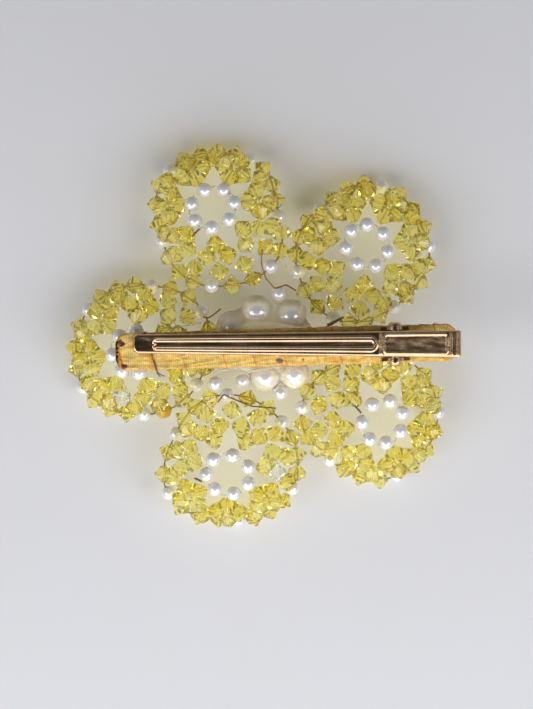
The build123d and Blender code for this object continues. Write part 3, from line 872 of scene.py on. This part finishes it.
class HAIRCLIP_OT_binding(bpy.types.Operator):
    """Tie the brown sewing thread round the ribbon near the tip"""

    bl_idname = "hairclip.binding"
    bl_label = "Binding Thread"

    def execute(self, context):
        made, tree, body = material("brown_thread", Roughness=0.8, Sheen_Weight=0.2)
        place = node(tree, "ShaderNodeTexCoord")
        ply = node(
            tree, "ShaderNodeTexWave", {"Scale": 1000 * 2.2, "Distortion": 1.0},
            bands_direction="DIAGONAL",
        )
        tree.links.new(place.outputs["Object"], ply.inputs["Vector"])
        dark, pale = (0.10, 0.035, 0.008), (0.36, 0.17, 0.05)
        paint(tree, body, ply.outputs["Fac"], (0.2, dark), (0.8, pale))
        bump(tree, body, ply.outputs["Fac"], 0.04 * MM)
        middle = ribbon_middle
        outline = ribbon_outline(
            BINDING_HALF_WIDTH, ribbon_half_height + BINDING_LIFT, 0.5 * MM, 0.6 * MM,
        )
        routes = []
        for shift in (0.0, 0.22):
            loop = []
            for across, up, _, _ in outline:
                wander = 0.12 * MM * noise.noise((across / MM, up / MM, shift * 9))
                along = (BINDING_PLACE + shift) * MM - across * BINDING_SLANT + wander
                loop.append(along_base(along, across, middle + up))
            routes.append(loop + loop[:2])
        knot = along_base(-47.5 * MM, -3.9 * MM, middle + 0.5 * MM)
        for tail in ((0.7, -1.0, 0.1), (1.4, -0.9, -0.2)):
            end = knot + Vector(tail) * 1.2 * MM
            bow = knot + Vector((tail[0] * 0.4, tail[1] * 0.9, 0.3)) * MM
            routes.append([knot, bow, end])
        piece = wire_piece("binding_loops", routes, THREAD_RADIUS, made)
        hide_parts("binding_thread")
        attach(piece, BASE)
        return {"FINISHED"}


# ---------------------------------------------------------------- glue


def ball(centre, size, rings=16):
    """Points and faces of an ellipsoid, to be melted into the glue."""
    verts, faces = [], []
    turns = 2 * rings
    for i in range(1, rings):
        tilt = math.pi * i / rings
        for j in range(turns):
            spin = 2 * math.pi * j / turns
            verts.append(centre + Vector((
                size[0] * math.sin(tilt) * math.cos(spin),
                size[1] * math.sin(tilt) * math.sin(spin),
                size[2] * math.cos(tilt),
            )))
    top = len(verts)
    verts += [centre + Vector((0, 0, size[2])), centre - Vector((0, 0, size[2]))]
    for j in range(turns):
        k = (j + 1) % turns
        faces.append((top, j, k))
        faces.append((top + 1, (rings - 2) * turns + k, (rings - 2) * turns + j))
        for i in range(rings - 2):
            faces.append((i * turns + j, (i + 1) * turns + j, (i + 1) * turns + k, i * turns + k))
    return verts, faces


# The glue pool: bulges over the large pearls, as (x, y) from its middle in millimetres, and runs.
PEARL_BULGES = ((-6.6, 2.6), (-1.7, 5.8), (5.2, 5.0), (0.0, -7.4), (5.8, -6.9))
GLUE_RUNS = 16
GLUE_VOXEL = 0.3 * MM


class HAIRCLIP_OT_glue(bpy.types.Operator):
    """Run the set glue under the clip and up round the centre pearls"""

    bl_idname = "hairclip.glue"
    bl_label = "Glue"

    def execute(self, context):
        look = context.scene.hairclip_ribbon
        chance = random.Random(5)
        low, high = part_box("glue_pad")
        centre = (low + high) / 2
        top = high.z
        lumps = [
            (Vector((centre.x, centre.y, top - 3.4 * MM)), (10.0 * MM, 7.4 * MM, 1.9 * MM)),
            (Vector((centre.x, centre.y, top - 1.4 * MM)), (9.4 * MM, 3.3 * MM, 1.5 * MM)),
        ]
        for x, y in PEARL_BULGES:
            place = Vector((centre.x + x * MM, centre.y + y * MM, top - 4.1 * MM))
            lumps.append((place, (3.15 * MM, 3.15 * MM, 3.05 * MM)))
        for _ in range(GLUE_RUNS):
            spin = chance.uniform(0, 2 * math.pi)
            reach = chance.uniform(0.5, 0.92)
            size = chance.uniform(0.9, 1.6) * MM
            place = Vector((
                centre.x + 9.2 * MM * reach * math.cos(spin),
                centre.y + 6.8 * MM * reach * math.sin(spin),
                top - chance.uniform(2.4, 4.2) * MM,
            ))
            lumps.append((place, (size * 1.5, size, size)))
        verts, faces = [], []
        for place, size in lumps:
            more, sides = ball(place, size)
            faces += [tuple(k + len(verts) for k in side) for side in sides]
            verts += more
        made, tree, body = material(
            "set_glue", Roughness=0.1, IOR=1.48, Transmission_Weight=0.55, Subsurface_Weight=0.5,
            Subsurface_Scale=2 * MM,
        )
        deep = [c * s for c, s in zip(look.glue, (0.97, 0.90, 0.80))]
        paint(tree, body, blotches(tree, 0.3, 4), (0.35, deep), (0.65, look.glue))
        bump(tree, body, blotches(tree, 0.7, 3), 0.12 * MM, 0.5)
        through_for_lamps(made, THROUGH_GLUE)
        piece = mesh_piece("glue_pool", verts, faces, made)
        melt = piece.modifiers.new("melt", "REMESH")
        melt.mode = "VOXEL"
        melt.voxel_size = GLUE_VOXEL
        melt.use_smooth_shade = True
        soften = piece.modifiers.new("soften", "SMOOTH")
        soften.factor = 0.5
        soften.iterations = 6
        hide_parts("glue_pad")
        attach(piece, BASE)
        return {"FINISHED"}


# ---------------------------------------------------------------- stage


FLOOR_REACH = 1.5  # half the floor's side, in metres
STAGE_TARGET = (1.1, -3.7, 10)
SOFTBOX_SIZE, FILL_SIZE = 270, 760
FILL_SHARE = 3.1  # power of the front fill in softboxes
SOFTBOX_COLOUR, FILL_COLOUR = (1.0, 0.985, 0.96), (0.95, 0.97, 1.0)
SKY_STRENGTH = 0.3


class HAIRCLIP_OT_stage(bpy.types.Operator):
    """Lay the pale floor and set up the softboxes, the surrounding light and the camera"""

    bl_idname = "hairclip.stage"
    bl_label = "Stage"

    def execute(self, context):
        look = context.scene.hairclip_stage
        paper, tree, body = material("pale_floor", Roughness=0.7)
        warm = [c * s for c, s in zip(look.floor, (1.0, 1.0, 0.99))]
        paint(tree, body, blotches(tree, 0.05, 3), (0.4, look.floor), (0.6, warm))
        bump(tree, body, blotches(tree, 2.0, 4), 0.02 * MM, 0.2)
        height = cad_box[0][2] - context.scene.hairclip_beads.bead_swell
        signs = ((-1, -1), (1, -1), (1, 1), (-1, 1))
        corners = [(x * FLOOR_REACH, y * FLOOR_REACH, height) for x, y in signs]
        floor = mesh_piece("floor", corners, [(0, 1, 2, 3)], paper)

        target = Vector(STAGE_TARGET) * MM
        power = look.softbox_power
        lamps = [
            ("left_softbox", (-380, -180, 370), SOFTBOX_SIZE, power, SOFTBOX_COLOUR),
            ("right_softbox", (380, -180, 370), SOFTBOX_SIZE, power, SOFTBOX_COLOUR),
            ("front_fill", (0, -470, 240), FILL_SIZE, power * FILL_SHARE, FILL_COLOUR),
        ]
        for name, place, size, watts, colour in lamps:
            lamp = bpy.data.lights.new(name, "AREA")
            lamp.shape = "SQUARE"
            lamp.size = size * MM
            lamp.energy = watts
            lamp.color = colour
            holder = bpy.data.objects.new(name, lamp)
            holder.location = Vector(place) * MM
            holder.rotation_euler = (target - holder.location).to_track_quat("-Z", "Y").to_euler()
            context.collection.objects.link(holder)

        world = bpy.data.worlds.new("studio")
        context.scene.world = world
        world.use_nodes = True
        tree = world.node_tree
        sky = tree.nodes["Background"]
        way = node(tree, "ShaderNodeTexCoord")
        parts = node(tree, "ShaderNodeSeparateXYZ")
        tree.links.new(way.outputs["Generated"], parts.inputs["Vector"])
        tree.links.new(
            ramp(tree, parts.outputs["Z"], (0.25, (0.80, 0.80, 0.82)), (0.7, (0.45, 0.44, 0.42)),
                 (0.93, (0.10, 0.095, 0.075))),
            sky.inputs["Color"],
        )
        sky.inputs["Strength"].default_value = SKY_STRENGTH

        lens = bpy.data.cameras.new("camera")
        camera = bpy.data.objects.new("camera", lens)
        lens.sensor_fit = "VERTICAL"
        lens.sensor_height = 24.0
        lens.lens = lens.sensor_height * look.camera_distance / look.view_height
        lens.clip_start = 0.01
        lens.clip_end = 10
        camera.location = target + Vector((0, 0, look.camera_distance))
        context.collection.objects.link(camera)
        context.scene.camera = camera
        context.scene.view_settings.view_transform = "Standard"
        return {"FINISHED"}


# ---------------------------------------------------------------- panel and registration


STEPS = (
    HAIRCLIP_OT_crystals,
    HAIRCLIP_OT_pearls,
    HAIRCLIP_OT_wires,
    HAIRCLIP_OT_base,
    HAIRCLIP_OT_lever,
    HAIRCLIP_OT_ribbon,
    HAIRCLIP_OT_binding,
    HAIRCLIP_OT_glue,
    HAIRCLIP_OT_stage,
)


class HAIRCLIP_PT_panel(bpy.types.Panel):
    """Lists the steps that finish the hair clip"""

    bl_label = "Flower Hair Clip"
    bl_idname = "HAIRCLIP_PT_panel"
    bl_space_type = "VIEW_3D"
    bl_region_type = "UI"
    bl_category = "Hair Clip"

    def draw(self, context):
        for step in STEPS:
            self.layout.operator(step.bl_idname)
        for group in ("hairclip_beads", "hairclip_clip", "hairclip_ribbon", "hairclip_stage"):
            settings = getattr(context.scene, group)
            box = self.layout.box()
            for name in settings.__annotations__:
                box.prop(settings, name)


CLASSES = (BeadFinish, ClipFinish, RibbonFinish, StageSettings, *STEPS, HAIRCLIP_PT_panel)


def register():
    for cls in CLASSES:
        bpy.utils.register_class(cls)
    bpy.types.Scene.hairclip_beads = PointerProperty(type=BeadFinish)
    bpy.types.Scene.hairclip_clip = PointerProperty(type=ClipFinish)
    bpy.types.Scene.hairclip_ribbon = PointerProperty(type=RibbonFinish)
    bpy.types.Scene.hairclip_stage = PointerProperty(type=StageSettings)


def unregister():
    del bpy.types.Scene.hairclip_stage
    del bpy.types.Scene.hairclip_ribbon
    del bpy.types.Scene.hairclip_clip
    del bpy.types.Scene.hairclip_beads
    for cls in reversed(CLASSES):
        bpy.utils.unregister_class(cls)


def main():
    register()
    bpy.ops.hairclip.crystals()
    bpy.ops.hairclip.pearls()
    bpy.ops.hairclip.wires()
    bpy.ops.hairclip.base()
    bpy.ops.hairclip.lever()
    bpy.ops.hairclip.ribbon()
    bpy.ops.hairclip.binding()
    bpy.ops.hairclip.glue()
    bpy.ops.hairclip.stage()


if __name__ == "__main__":
    main()
